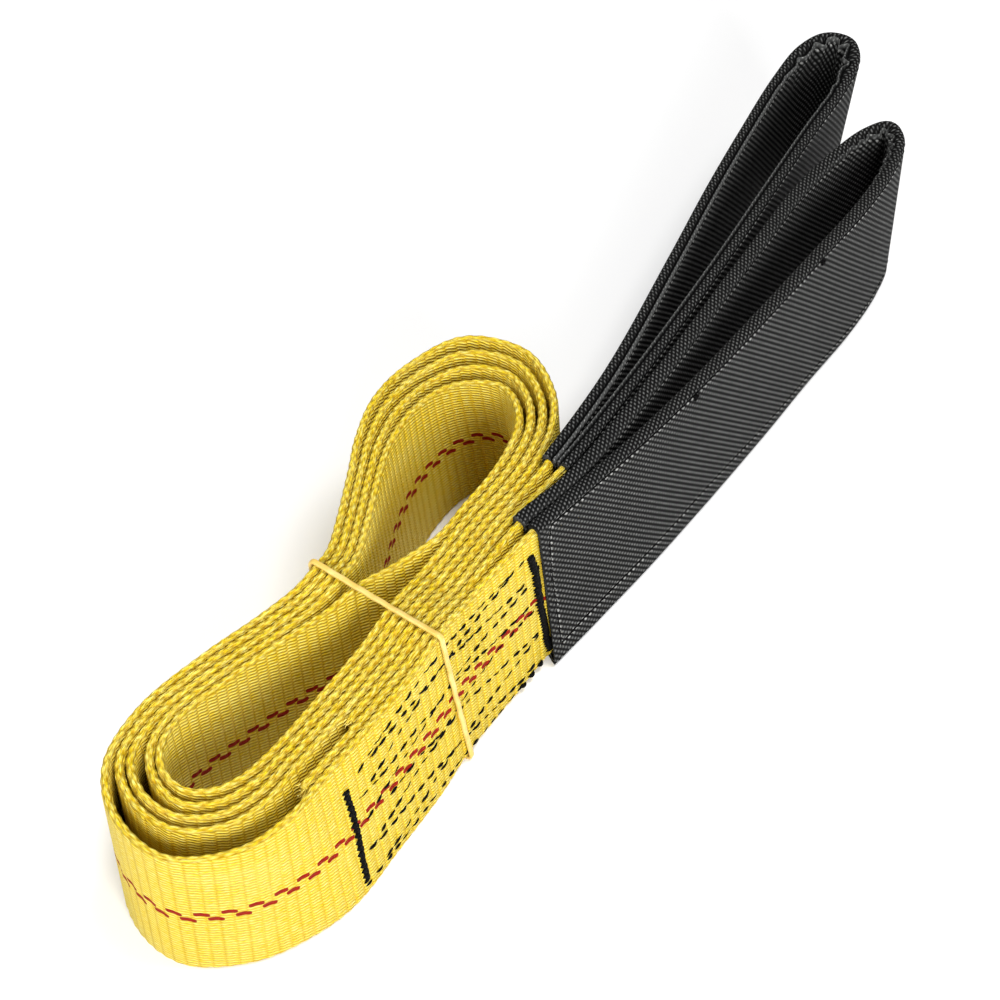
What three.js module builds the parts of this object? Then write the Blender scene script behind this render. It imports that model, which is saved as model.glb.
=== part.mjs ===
// Web sling, folded in half, rolled into a hank and held by a rubber band. Millimetres, +Z up.
// X runs along the hank towards the two eyes, -Y is the stitched outer face, the floor is z = 0.
import * as THREE from 'three';

// Driving dimensions
const webWidth = 50;          // flat woven webbing, edge to edge
const webThickness = 2.1;
const layerGap = 0.2;         // air between two layers pressed together
const sleeveCloth = 0.7;      // wear sleeve material
const sleeveSlack = 0.2;      // air between the webbing face and the sleeve
const sleeveEdgeSlack = 0.6;  // air between the webbing edge and the sleeve
const sleeveCorner = 1.2;     // rounding of the sleeve's folded edges
const bandWide = 2.0;         // rubber band, across its visible face
const bandThick = 1.1;
const bandBend = 0.7;         // inner radius where the band turns over a corner of the hank
const bandEdge = 0.3;         // chamfer along the band's outer edges
const bandSlide = 3.9;        // how far the band sits back along the hank at its upper front corner
const clear = 0.3;            // air between two separate pieces
const legGap = 0.25;          // air between two sleeved legs side by side

// Sizes that follow
const half = webThickness / 2;
const sleeveThick = webThickness + 2 * (sleeveSlack + sleeveCloth);
const sleeveTall = webWidth + 2 * (sleeveEdgeSlack + sleeveCloth);
const sleeveLift = sleeveEdgeSlack + sleeveCloth;
const legPitch = sleeveThick + legGap;
const bandLift = bandThick + clear;
const looseGap = layerGap + 0.07;   // air where the rolled layers are a little slack

// A station lies across the hank. It gives the inner face of its first layer at the upper and at
// the lower edge of the webbing, the direction in degrees in which the layers stack outwards, the
// air between them above and below, and the height of the lower edge over the floor.
const station = (top, bottom, degrees, airTop = layerGap, airBottom = layerGap, lift = 0) => {
  const turn = THREE.MathUtils.degToRad(degrees);
  return { top, bottom, out: [Math.cos(turn), Math.sin(turn)], airTop, airBottom, lift };
};

// Distance from the first inner face to the middle of one layer, whose slots count outwards
const reach = (slot, air) => {
  let sum = half;
  for (let i = 0; i < slot; i++) sum += webThickness + (Array.isArray(air) ? air[i] : air);
  return sum;
};

// One point of the path: the middle of the webbing at its upper and at its lower edge
const outFrom = (point, out, distance) => [point[0] + out[0] * distance, point[1] + out[1] * distance];
const place = (st, slot) => ({
  top: outFrom(st.top, st.out, reach(slot, st.airTop)),
  bottom: outFrom(st.bottom, st.out, reach(slot, st.airBottom)),
  lift: st.lift,
});
const spot = (x, y, leanX, leanY, lift = 0) => ({ top: [x, y], bottom: [x + leanX, y + leanY], lift });

// Right run, from the bottom loop up to the eyes. Slots from inside: 0 half-way layer,
// 1, 2, 3 rolled layers, 4 body of the rear eye, 5 its tail, 6 tail of the front eye, 7 its body.
const right = [
  station([-134, -18.9], [-131.5, -23.3], -90, looseGap, 0.35),
  station([-115, -19.2], [-112.5, -24.2], -90, looseGap),
  station([-97, -19.0], [-94.5, -23.8], -90, looseGap),
  station([-82, -18.3], [-79.5, -22.9], -90, looseGap, layerGap, bandLift),
  station([-68, -18.0], [-65.5, -22.3], -90, looseGap),
  station([-56, -17.6], [-53.5, -21.0], -90, looseGap),
  station([-45, -17.2], [-42.5, -19.4], -90, looseGap, looseGap),
];

// Upper right run, where only the four rolled layers bend off into the top loop
const shoulder = [
  station([-34, -17.2], [-31.5, -18.8], -85, 0.4),
  station([-24.5, -16.2], [-21.5, -17.6], -72, 0.55, 0.3),
  station([-14.5, -13.4], [-11, -15.2], -60, 0.8, 0.4),
];

// Top loop, from its right side round to its left. Slots 0 to 3 from inside.
const topLoop = [
  station([-7.9, -8.6], [-1.5, -10.6], -35, 1.3, 0.6),
  station([-4.6, -2.6], [5.2, -4.0], 5, 2.5, 0.6),
  station([-7.3, 4.2], [3.6, 4.2], 38, 3.3, 0.6),
  station([-14, 9.0], [-5.2, 8.4], 70, 2.1, 0.5),
  station([-25, 10.6], [-20, 8.8], 90, 1.5, 0.4),
  station([-36.7, 9.0], [-33.2, 6.0], 107, 0.7, 0.3),
];

// Left run down to the waist and on to the bottom loop. Slots 0 to 3 from inside.
const left = [
  station([-46.8, 5.4], [-43.6, 2.6], 115, looseGap),
  station([-62, -1.4], [-59, -3.2], 114),
  station([-72.5, -5.6], [-70, -6.8], 106),
  station([-82, -7.3], [-79.5, -7.9], 94, layerGap, layerGap, bandLift),
  station([-93, -6.4], [-90.5, -6.6], 84),
];

// Left side of the bottom loop and its turn, where the layers stand off each other.
// Slots 0 to 4 from inside.
const bottomLoop = [
  station([-105, -6.4], [-102.5, -6.4], 80),
  station([-121, -2.4], [-118.5, -2.4], 79),
  station([-138.5, 0.6], [-136, 0.4], 98),
  station([-146.6, -1.4], [-144.2, -1.2], 140, [0.4, 2.2, 0.6, 0.9], [0.5, 2.4, 0.8, 1.4]),
  station([-151, -6.0], [-148.2, -5.2], 173, [0.6, 2.4, 0.8, 3.5], [0.6, 2.4, 0.8, 3.5]),
  station([-152, -12], [-148.6, -9.6], 203, [1.6, 1.5, 1.5, 5.7], [1.4, 1.4, 1.4, 5.8]),
  station([-148.8, -17.0], [-146, -14.8], 235, [1.4, 1.3, 1.3, 5.5], [1.2, 1.2, 1.2, 6.2]),
  station([-142.5, -20.2], [-140, -20.6], 258, [0.8, 0.8, 0.8, 5.0], [0.6, 0.6, 0.6, 6.7]),
];

// The half-way layer leaves the bottom loop on the left and crosses to the right run
const crossing = [
  spot(-93, -8.9, 2.5, -0.6),
  spot(-82, -11.6, 2.5, -1.4, bandLift),
  spot(-69, -15.2, 2.5, -3.0),
  spot(-57, -18.3, 2.5, -3.6),
];

// The four legs of the eyes lie side by side where they leave the stack, the rear eye's inside
const rolledFace = shoulder[1].top[1] - reach(3, shoulder[1].airTop) - half;
const legY = leg => rolledFace - clear - sleeveThick / 2 - leg * legPitch;
const stackFace = right[6].top[1] - reach(6, right[6].airTop) + half;
const sleeveEndY = leg => stackFace - sleeveThick / 2 - leg * legPitch;
const sleeved = (x, y, leanX, leanY) => spot(x, y, leanX, leanY, sleeveLift);
const sleeveEnd = (x, y, leanX, leanY) => ({ ...sleeved(x, y, leanX, leanY), sleeveEnd: true });
const legRoot = -24;

// Front eye: back leg out, round the tip, front leg home
const frontEye = [
  sleeveEnd(-44, sleeveEndY(0), 2.5, -2.6),
  sleeved(legRoot, legY(2), 2, -1.6),
  sleeved(19, -37.0, 1, -0.6),
  sleeved(71, -34.6, 1, 0.4),
  sleeved(105, -33.4, 2, 0.8),
  sleeved(124, -35.2, 3, 1.4),
  sleeved(136.4, -38.4, 4, 1.6),
  sleeved(142, -42.4, 4.4, 1.6),
  sleeved(138, -47.2, 4, 1.6),
  sleeved(126, -50.2, 3, 1.6),
  sleeved(108, -51.0, 2.5, 1.4),
  sleeved(84, -50.0, 2, 1.2),
  sleeved(58, -48.8, 2, 0.4),
  sleeved(22, -46.6, 2, -0.4),
  sleeved(-2, -44.2, 2, -1.0),
  sleeved(legRoot, legY(3), 2.2, -1.6),
  sleeveEnd(-46, sleeveEndY(1), 2.5, -2.6),
];

// Rear eye: left leg out, round the tip, right leg home
const rearEye = [
  sleeveEnd(-22, legY(0), 2, -1.4),
  sleeved(13, -26.0, 2, -0.8),
  sleeved(61, -18.0, 1, 0.6),
  sleeved(92, -12.4, 0, 1.4),
  sleeved(119, -8.2, -1, 2.4),
  sleeved(146.5, -4.6, -2, 3.4),
  sleeved(161.5, -4.4, -2.6, 4.0),
  sleeved(169.6, -8.0, -2.7, 4.2),
  sleeved(170.8, -14.0, -2.7, 4.2),
  sleeved(165.4, -19.0, -2.6, 4.0),
  sleeved(154, -21.4, -2, 3.4),
  sleeved(128.5, -23.2, -1, 2.4),
  sleeved(101, -25.6, 0, 1.6),
  sleeved(67.5, -28.6, 1, 0.6),
  sleeved(16.5, -31.8, 1, -0.4),
  sleeveEnd(-22, legY(1), 2, -1.4),
];

// Between a sleeve's end and the stack the webbing comes down to the floor
const halfDown = sleeveLift * 0.4;
const ease = (x, y, leanY, lift = halfDown) => spot(x, y, 2.5, leanY, lift);

// Layers of one slot over a list of stations, in the order of the list or against it
const up = (stations, slot) => stations.map(st => place(st, slot));
const down = (stations, slot) => up(stations, slot).reverse();

// Cut ends of the two tails, a little way from the last station that they pass
const tailEndA = place(station([-138, -18.9], [-135.5, -21.3], -90, looseGap), 6);
const tailEndB = place(station([-116.5, -19.2], [-114, -24.2], -90, looseGap), 5);

// The whole webbing in one go, from the front eye's tail to the rear eye's tail
const path = [
  // front eye, then the outermost turn
  tailEndA,
  ...up(right.slice(1, 5), 6),
  ease(-56, sleeveEndY(0) + 0.3, -3.4),
  ...frontEye,
  ease(-57, sleeveEndY(1) + 1.2, -3.6),
  ...down(right.slice(0, 5), 7),
  ...down(bottomLoop, 4),
  ...down(left, 3),
  ...down(topLoop, 3),
  // second turn
  ...down(shoulder, 3),
  ...down(right, 3),
  ...down(bottomLoop, 2),
  ...down(left, 1),
  ...down(topLoop, 1),
  // third turn, ending in the layer that crosses the middle
  ...down(shoulder, 1),
  ...down(right, 1),
  ...down(bottomLoop, 0),
  ...crossing,
  place(right[6], 0),
  ...up(shoulder, 0),
  ...up(topLoop, 0),
  ...up(left, 0),
  // back the other way round to the rear eye
  ...up(bottomLoop, 1),
  ...up(right, 2),
  ...up(shoulder, 2),
  ...up(topLoop, 2),
  ...up(left, 2),
  ...up(bottomLoop, 3),
  ...up(right, 4),
  ease(-33.5, legY(0) + 0.3, -1.8),
  ...rearEye,
  ease(-33.5, legY(1) + 1.2, -1.8),
  ...down(right.slice(2), 5),
  tailEndB,
];

// Smooth run through the points, with one curve for the upper edge and one for the lower
const stepsPerSpan = 4;
const curve = edge => new THREE.CatmullRomCurve3(path.map(p => new THREE.Vector3(...p[edge], 0)));
const topCurve = curve('top');
const bottomCurve = curve('bottom');
const spans = path.length - 1;
const run = Array.from({ length: spans * stepsPerSpan + 1 }, (_, j) => {
  const i = Math.min(Math.floor(j / stepsPerSpan), spans - 1);
  const along = j / stepsPerSpan - i;
  const upper = topCurve.getPoint((i + along) / spans);
  const lower = bottomCurve.getPoint((i + along) / spans);
  return {
    top: [upper.x, upper.y],
    bottom: [lower.x, lower.y],
    sleeveEnd: along === 0 && path[i].sleeveEnd,
    lift: THREE.MathUtils.lerp(path[i].lift, path[i + 1].lift, THREE.MathUtils.smoothstep(along, 0, 1)),
  };
});

// Cross direction of the strip at one of its edges, level with the floor
const across = (i, edge) => {
  const before = run[Math.max(i - 1, 0)][edge];
  const after = run[Math.min(i + 1, run.length - 1)][edge];
  const along = new THREE.Vector2(after[0] - before[0], after[1] - before[1]).normalize();
  return [-along.y, along.x];
};
run.forEach((r, i) => {
  r.acrossTop = across(i, 'top');
  r.acrossBottom = across(i, 'bottom');
  r.rise = Math.sqrt(webWidth ** 2 - (r.bottom[0] - r.top[0]) ** 2 - (r.bottom[1] - r.top[1]) ** 2);
});

// A point of the leaning strip: side is the distance from its middle, height the distance from
// its lower edge, measured along the webbing
const mix = (a, b, f) => [a[0] + (b[0] - a[0]) * f, a[1] + (b[1] - a[1]) * f];
const onStrip = (r, side, height) => {
  const f = height / webWidth;
  const middle = mix(r.bottom, r.top, f);
  const direction = mix(r.acrossBottom, r.acrossTop, f);
  return [...outFrom(middle, direction, side), r.lift + r.rise * f];
};

// Two triangles over four corners, seen from outside in the order given
const quad = (a, b, c, d) => [a, b, c, a, c, d];

// Skin between each ring of points and the next, with corners of ring i numbered from start + i * n
const skin = (start, n, count, closed = false) => {
  const index = [];
  for (let i = 0; i < count - (closed ? 0 : 1); i++) {
    const next = (i + 1) % count;
    for (let k = 0; k < n; k++) {
      const j = (k + 1) % n;
      index.push(...quad(start + i * n + k, start + i * n + j, start + next * n + j, start + next * n + k));
    }
  }
  return index;
};
const inward = index => index.toReversed();

const piece = (name, rings, index, color, roughness) => {
  const geometry = new THREE.BufferGeometry();
  geometry.setAttribute('position', new THREE.Float32BufferAttribute(rings.flat(2), 3));
  geometry.setIndex(index);
  geometry.computeVertexNormals();
  const mesh = new THREE.Mesh(geometry, new THREE.MeshStandardMaterial({ color, roughness, metalness: 0 }));
  mesh.name = name;
  return mesh;
};

// Webbing: a plain rectangle carried along the whole run, closed at both cut ends
const webRings = run.map(r => [
  onStrip(r, -half, 0),
  onStrip(r, half, 0),
  onStrip(r, half, webWidth),
  onStrip(r, -half, webWidth),
]);
const lastWeb = 4 * (run.length - 1);
const webbing = piece('webbing', webRings, [
  ...skin(0, 4, run.length),
  ...quad(3, 2, 1, 0),
  ...quad(lastWeb, lastWeb + 1, lastWeb + 2, lastWeb + 3),
], 0xf2cf2a, 0.85);

// Eye sleeve: a flat tube with chamfered edges round the webbing, open at both ends
const flatOval = (thick, tall, corner) => {
  const w = thick / 2;
  const h = tall / 2;
  const c = corner;
  return [[-w, c - h], [c - w, -h], [w - c, -h], [w, c - h], [w, h - c], [w - c, h], [c - w, h], [-w, h - c]];
};
const sleeveOutside = flatOval(sleeveThick, sleeveTall, sleeveCorner);
const sleeveInside = flatOval(sleeveThick - 2 * sleeveCloth, sleeveTall - 2 * sleeveCloth, sleeveCorner / 2);
const sleeve = (name, from, to) => {
  const stretch = run.slice(from, to + 1);
  const rings = outline => stretch.map(r => outline.map(([side, h]) => onStrip(r, side, h + webWidth / 2)));
  const n = sleeveOutside.length;
  const inner = n * stretch.length;
  const last = inner - n;
  const index = [...skin(0, n, stretch.length), ...inward(skin(inner, n, stretch.length))];
  for (let k = 0; k < n; k++) {
    const j = (k + 1) % n;
    index.push(...quad(k, inner + k, inner + j, j));
    index.push(...quad(last + j, inner + last + j, inner + last + k, last + k));
  }
  return piece(name, [...rings(sleeveOutside), ...rings(sleeveInside)], index, 0x2b2c2d, 0.9);
};
const ends = run.flatMap((r, i) => (r.sleeveEnd ? [i] : []));

// Rubber band: a closed loop round the waist, rounded about the hank's four corners
const waistLeft = place(left[3], 3);
const waistRight = place(right[3], 7);
const behindWaist = place(right[2], 7);
const slide = bandSlide / (waistRight.top[0] - behindWaist.top[0]);
const off = half + clear;
const bandRoof = bandLift + webWidth + clear / 2;
const corner = (point, side, z) => ({ x: point[0], y: point[1] + side * off, z });
const corners = [
  corner(waistRight.bottom, -1, bandThick),
  corner(waistLeft.bottom, 1, bandThick),
  corner(waistLeft.top, 1, bandRoof),
  corner(mix(waistRight.top, behindWaist.top, slide), -1, bandRoof),
];
const bendSteps = 4;
const bandSection = [
  [0, -bandWide / 2],
  [0, bandWide / 2],
  [bandThick - bandEdge, bandWide / 2],
  [bandThick, bandWide / 2 - bandEdge],
  [bandThick, bandEdge - bandWide / 2],
  [bandThick - bandEdge, -bandWide / 2],
];
const facing = (a, b) => Math.atan2(b.z - a.z, b.y - a.y) - Math.PI / 2;
const bandRings = corners.flatMap((c, i) => {
  const before = facing(corners[(i + 3) % 4], c);
  const after = facing(c, corners[(i + 1) % 4]);
  const turn = THREE.MathUtils.euclideanModulo(after - before, 2 * Math.PI);
  // The middle of the bend lies one bend radius inside both straight runs
  const inset = bandBend / Math.cos(turn / 2);
  const y = c.y - inset * Math.cos(before + turn / 2);
  const z = c.z - inset * Math.sin(before + turn / 2);
  return Array.from({ length: bendSteps + 1 }, (_, k) => {
    const angle = before + (turn * k) / bendSteps;
    return bandSection.map(([depth, x]) => {
      const r = bandBend + depth;
      return [c.x + x, y + Math.cos(angle) * r, z + Math.sin(angle) * r];
    });
  });
});
const bandIndex = skin(0, bandSection.length, bandRings.length, true);

const group = new THREE.Group();
group.name = 'web_sling';
group.add(
  webbing,
  sleeve('eye_sleeve_a', ends[0], ends[1]),
  sleeve('eye_sleeve_b', ends[2], ends[3]),
  piece('rubber_band', bandRings, bandIndex, 0xe0b878, 0.6),
);

// The middle of the footprint is the origin
const box = new THREE.Box3().setFromObject(group);
const middle = box.getCenter(new THREE.Vector3());
group.children.forEach(mesh => mesh.geometry.translate(-middle.x, -middle.y, -box.min.z));
export default group;
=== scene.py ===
# Web sling rolled into a hank: woven yellow webbing, two black sleeved eyes and a rubber band.
# The route of the webbing is worked out in millimetres, then placed in the frame in metres.
import math

import bpy
import numpy as np
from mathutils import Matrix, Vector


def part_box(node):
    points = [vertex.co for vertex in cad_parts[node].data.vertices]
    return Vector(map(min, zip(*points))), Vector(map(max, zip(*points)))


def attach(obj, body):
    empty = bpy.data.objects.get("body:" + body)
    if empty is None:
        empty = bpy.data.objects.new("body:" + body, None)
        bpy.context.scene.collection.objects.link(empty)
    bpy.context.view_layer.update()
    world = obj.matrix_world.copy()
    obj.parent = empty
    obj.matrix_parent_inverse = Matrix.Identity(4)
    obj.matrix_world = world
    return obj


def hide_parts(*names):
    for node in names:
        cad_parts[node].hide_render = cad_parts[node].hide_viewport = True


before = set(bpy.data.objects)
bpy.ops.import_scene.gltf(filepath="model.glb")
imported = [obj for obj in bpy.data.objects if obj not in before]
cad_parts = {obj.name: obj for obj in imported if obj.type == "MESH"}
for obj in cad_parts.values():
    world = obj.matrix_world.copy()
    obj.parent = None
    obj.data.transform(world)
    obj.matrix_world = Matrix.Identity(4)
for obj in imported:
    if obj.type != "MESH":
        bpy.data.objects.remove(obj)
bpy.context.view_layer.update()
mm = 0.001


# Route of the webbing

route = {
    "webWidth": 50.0,
    "webThickness": 2.1,
    "layerGap": 0.2,
    "looseGap": 0.27,
    "sleeveCloth": 0.7,
    "sleeveSlack": 0.2,
    "sleeveEdgeSlack": 0.6,
    "legGap": 0.25,
    "clear": 0.3,
    "bandLift": 1.4,
}
half = route["webThickness"] / 2
sleeveThick = route["webThickness"] + 2 * (route["sleeveSlack"] + route["sleeveCloth"])
sleeveLift = route["sleeveEdgeSlack"] + route["sleeveCloth"]
legPitch = sleeveThick + route["legGap"]
tight, loose, bandLift = route["layerGap"], route["looseGap"], route["bandLift"]


# A line across the stack: inner face of the first layer at the upper and at the lower edge, direction
# in which the layers stack, air between them above and below, and height of the lower edge
def station(top, bottom, degrees, airTop=tight, airBottom=tight, lift=0.0):
    turn = math.radians(degrees)
    out = np.array([math.cos(turn), math.sin(turn)])
    return {"top": np.array(top), "bottom": np.array(bottom), "out": out,
            "air": (airTop, airBottom), "lift": lift}


# Half a layer, plus one layer and its air for each slot further out
def reach(slot, air):
    gaps = sum(air[:slot]) if isinstance(air, list) else slot * air
    return half + slot * route["webThickness"] + gaps


# Middle of one layer at both edges: first inner face plus the reach along the stacking direction
def place(st, slot):
    return (st["top"] + st["out"] * reach(slot, st["air"][0]),
            st["bottom"] + st["out"] * reach(slot, st["air"][1]), st["lift"], False)


def spot(x, y, leanX, leanY, lift=0.0, end=False):
    return np.array([x, y]), np.array([x + leanX, y + leanY]), lift, end


def up(stations, slot):
    return [place(st, slot) for st in stations]


def down(stations, slot):
    return up(stations, slot)[::-1]


right = [
    station([-134, -18.9], [-131.5, -23.3], -90, loose, 0.35),
    station([-115, -19.2], [-112.5, -24.2], -90, loose),
    station([-97, -19.0], [-94.5, -23.8], -90, loose),
    station([-82, -18.3], [-79.5, -22.9], -90, loose, tight, bandLift),
    station([-68, -18.0], [-65.5, -22.3], -90, loose),
    station([-56, -17.6], [-53.5, -21.0], -90, loose),
    station([-45, -17.2], [-42.5, -19.4], -90, loose, loose),
]
shoulder = [
    station([-34, -17.2], [-31.5, -18.8], -85, 0.4),
    station([-24.5, -16.2], [-21.5, -17.6], -72, 0.55, 0.3),
    station([-14.5, -13.4], [-11, -15.2], -60, 0.8, 0.4),
]
topLoop = [
    station([-7.9, -8.6], [-1.5, -10.6], -35, 1.3, 0.6),
    station([-4.6, -2.6], [5.2, -4.0], 5, 2.5, 0.6),
    station([-7.3, 4.2], [3.6, 4.2], 38, 3.3, 0.6),
    station([-14, 9.0], [-5.2, 8.4], 70, 2.1, 0.5),
    station([-25, 10.6], [-20, 8.8], 90, 1.5, 0.4),
    station([-36.7, 9.0], [-33.2, 6.0], 107, 0.7, 0.3),
]
left = [
    station([-46.8, 5.4], [-43.6, 2.6], 115, loose),
    station([-62, -1.4], [-59, -3.2], 114),
    station([-72.5, -5.6], [-70, -6.8], 106),
    station([-82, -7.3], [-79.5, -7.9], 94, tight, tight, bandLift),
    station([-93, -6.4], [-90.5, -6.6], 84),
]
bottomLoop = [
    station([-105, -6.4], [-102.5, -6.4], 80),
    station([-121, -2.4], [-118.5, -2.4], 79),
    station([-138.5, 0.6], [-136, 0.4], 98),
    station([-146.6, -1.4], [-144.2, -1.2], 140, [0.4, 2.2, 0.6, 0.9], [0.5, 2.4, 0.8, 1.4]),
    station([-151, -6.0], [-148.2, -5.2], 173, [0.6, 2.4, 0.8, 3.5], [0.6, 2.4, 0.8, 3.5]),
    station([-152, -12], [-148.6, -9.6], 203, [1.6, 1.5, 1.5, 5.7], [1.4, 1.4, 1.4, 5.8]),
    station([-148.8, -17.0], [-146, -14.8], 235, [1.4, 1.3, 1.3, 5.5], [1.2, 1.2, 1.2, 6.2]),
    station([-142.5, -20.2], [-140, -20.6], 258, [0.8, 0.8, 0.8, 5.0], [0.6, 0.6, 0.6, 6.7]),
]
crossing = [
    spot(-93, -8.9, 2.5, -0.6),
    spot(-82, -11.6, 2.5, -1.4, bandLift),
    spot(-69, -15.2, 2.5, -3.0),
    spot(-57, -18.3, 2.5, -3.6),
]

rolledFace = shoulder[1]["top"][1] - reach(3, shoulder[1]["air"][0]) - half
stackFace = right[6]["top"][1] - reach(6, right[6]["air"][0]) + half


def legY(leg):
    return rolledFace - route["clear"] - sleeveThick / 2 - leg * legPitch


def sleeveEndY(leg):
    return stackFace - sleeveThick / 2 - leg * legPitch


def sleeved(x, y, leanX, leanY, end=False):
    return spot(x, y, leanX, leanY, sleeveLift, end)


def ease(x, y, leanY):
    return spot(x, y, 2.5, leanY, sleeveLift * 0.4)


frontEye = [
    sleeved(-44, sleeveEndY(0), 2.5, -2.6, True),
    sleeved(-24, legY(2), 2, -1.6),
    sleeved(19, -37.0, 1, -0.6),
    sleeved(71, -34.6, 1, 0.4),
    sleeved(105, -33.4, 2, 0.8),
    sleeved(124, -35.2, 3, 1.4),
    sleeved(136.4, -38.4, 4, 1.6),
    sleeved(142, -42.4, 4.4, 1.6),
    sleeved(138, -47.2, 4, 1.6),
    sleeved(126, -50.2, 3, 1.6),
    sleeved(108, -51.0, 2.5, 1.4),
    sleeved(84, -50.0, 2, 1.2),
    sleeved(58, -48.8, 2, 0.4),
    sleeved(22, -46.6, 2, -0.4),
    sleeved(-2, -44.2, 2, -1.0),
    sleeved(-24, legY(3), 2.2, -1.6),
    sleeved(-46, sleeveEndY(1), 2.5, -2.6, True),
]
rearEye = [
    sleeved(-22, legY(0), 2, -1.4, True),
    sleeved(13, -26.0, 2, -0.8),
    sleeved(61, -18.0, 1, 0.6),
    sleeved(92, -12.4, 0, 1.4),
    sleeved(119, -8.2, -1, 2.4),
    sleeved(146.5, -4.6, -2, 3.4),
    sleeved(161.5, -4.4, -2.6, 4.0),
    sleeved(169.6, -8.0, -2.7, 4.2),
    sleeved(170.8, -14.0, -2.7, 4.2),
    sleeved(165.4, -19.0, -2.6, 4.0),
    sleeved(154, -21.4, -2, 3.4),
    sleeved(128.5, -23.2, -1, 2.4),
    sleeved(101, -25.6, 0, 1.6),
    sleeved(67.5, -28.6, 1, 0.6),
    sleeved(16.5, -31.8, 1, -0.4),
    sleeved(-22, legY(1), 2, -1.4, True),
]
tailEndA = place(station([-138, -18.9], [-135.5, -21.3], -90, loose), 6)
tailEndB = place(station([-116.5, -19.2], [-114, -24.2], -90, loose), 5)
path = [
    tailEndA, *up(right[1:5], 6), ease(-56, sleeveEndY(0) + 0.3, -3.4), *frontEye,
    ease(-57, sleeveEndY(1) + 1.2, -3.6), *down(right[:5], 7),
    *down(bottomLoop, 4), *down(left, 3), *down(topLoop, 3), *down(shoulder, 3), *down(right, 3),
    *down(bottomLoop, 2), *down(left, 1), *down(topLoop, 1), *down(shoulder, 1), *down(right, 1),
    *down(bottomLoop, 0), *crossing, place(right[6], 0),
    *up(shoulder, 0), *up(topLoop, 0), *up(left, 0),
    *up(bottomLoop, 1), *up(right, 2), *up(shoulder, 2), *up(topLoop, 2), *up(left, 2),
    *up(bottomLoop, 3), *up(right, 4), ease(-33.5, legY(0) + 0.3, -1.8), *rearEye,
    ease(-33.5, legY(1) + 1.2, -1.8), *down(right[2:], 5), tailEndB,
]
tops = np.array([p[0] for p in path], float)
bottoms = np.array([p[1] for p in path], float)
lifts = np.array([p[2] for p in path], float)
sleeveEnds = [i for i, p in enumerate(path) if p[3]]


# Catmull-Rom curve whose knots are spaced by the square root of the distance between points
def centripetal(points, at):
    ends = np.vstack([2 * points[0] - points[1], points, 2 * points[-1] - points[-2]])
    knots = np.sqrt(np.linalg.norm(np.diff(ends, axis=0), axis=1))
    i = np.minimum(at.astype(int), len(points) - 2)
    u = (at - i)[:, None]
    a, b, c, d = ends[i], ends[i + 1], ends[i + 2], ends[i + 3]
    k0, k1, k2 = knots[i][:, None], knots[i + 1][:, None], knots[i + 2][:, None]
    start = ((b - a) / k0 - (c - a) / (k0 + k1) + (c - b) / k1) * k1
    finish = ((c - b) / k1 - (d - b) / (k1 + k2) + (d - c) / k2) * k1
    return (b + start * u + (3 * (c - b) - 2 * start - finish) * u ** 2
            + (2 * (b - c) + start + finish) * u ** 3)


def liftAt(at):
    i = np.minimum(at.astype(int), len(path) - 2)
    u = at - i
    return lifts[i] + (lifts[i + 1] - lifts[i]) * u * u * (3 - 2 * u)


denseAt = np.linspace(0, len(path) - 1, (len(path) - 1) * 40 + 1)
denseMiddle = (centripetal(tops, denseAt) + centripetal(bottoms, denseAt)) / 2
denseLength = np.r_[0, np.cumsum(np.linalg.norm(np.diff(denseMiddle, axis=0), axis=1))]
webLength = denseLength[-1]


def distanceAt(pathIndex):
    return float(np.interp(pathIndex, denseAt, denseLength))


# The strip at these distances along its middle: both edges, their cross directions, lift and rise.
# Past either cut end it runs straight on.
def strip(distances):
    at = np.interp(distances, denseLength, denseAt)
    past = distances - np.clip(distances, 0, webLength)
    nudge = 0.02
    result = {"s": distances, "lift": liftAt(at)}
    for edge, points in (("top", tops), ("bottom", bottoms)):
        before = centripetal(points, np.clip(at - nudge, 0, len(path) - 1))
        after = centripetal(points, np.clip(at + nudge, 0, len(path) - 1))
        along = after - before
        along /= np.linalg.norm(along, axis=1)[:, None]
        result[edge] = centripetal(points, at) + along * past[:, None]
        result[edge + "Across"] = np.stack([-along[:, 1], along[:, 0]], 1)
    lean = result["bottom"] - result["top"]
    result["rise"] = np.sqrt(route["webWidth"] ** 2 - (lean ** 2).sum(1))
    return result


# Points of the leaning strip, one row for each station: the edges mixed by height over width, moved
# sideways along the mixed cross direction, with z the lift plus the rise times that share
def onStrip(st, side, height):
    share = (height / route["webWidth"])[..., None]
    middle = st["bottom"][:, None] * (1 - share) + st["top"][:, None] * share
    across = st["bottomAcross"][:, None] * (1 - share) + st["topAcross"][:, None] * share
    flat = middle + across * side[..., None]
    z = st["lift"][:, None] + st["rise"][:, None] * share[..., 0]
    return np.concatenate([flat, z[..., None]], axis=2)


# The frame's origin under the route, from the webbing's own box
coarse = strip(np.linspace(0, webLength, 1200))
edgeSides = np.tile([-half, half, half, -half], (len(coarse["s"]), 1))
edgeHeights = np.tile([0.0, 0.0, route["webWidth"], route["webWidth"]], (len(coarse["s"]), 1))
coarseBox = onStrip(coarse, edgeSides, edgeHeights).reshape(-1, 3)
webLow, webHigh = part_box("webbing")
origin = (np.array(webLow + webHigh) / mm - coarseBox.max(0) - coarseBox.min(0)) / 2
origin[2] = 0.0


# Mesh and material helpers

# Four-sided faces between each ring of points and the next, where columns wrap round
def ringGrid(rows, columns, start=0, closedRows=False):
    i = np.arange(rows if closedRows else rows - 1)[:, None]
    k = np.arange(columns)[None]
    j = (k + 1) % columns
    n = (i + 1) % rows
    quads = np.stack([i * columns + k, i * columns + j, n * columns + j, n * columns + k], -1)
    return quads.reshape(-1, 4) + start


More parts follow.
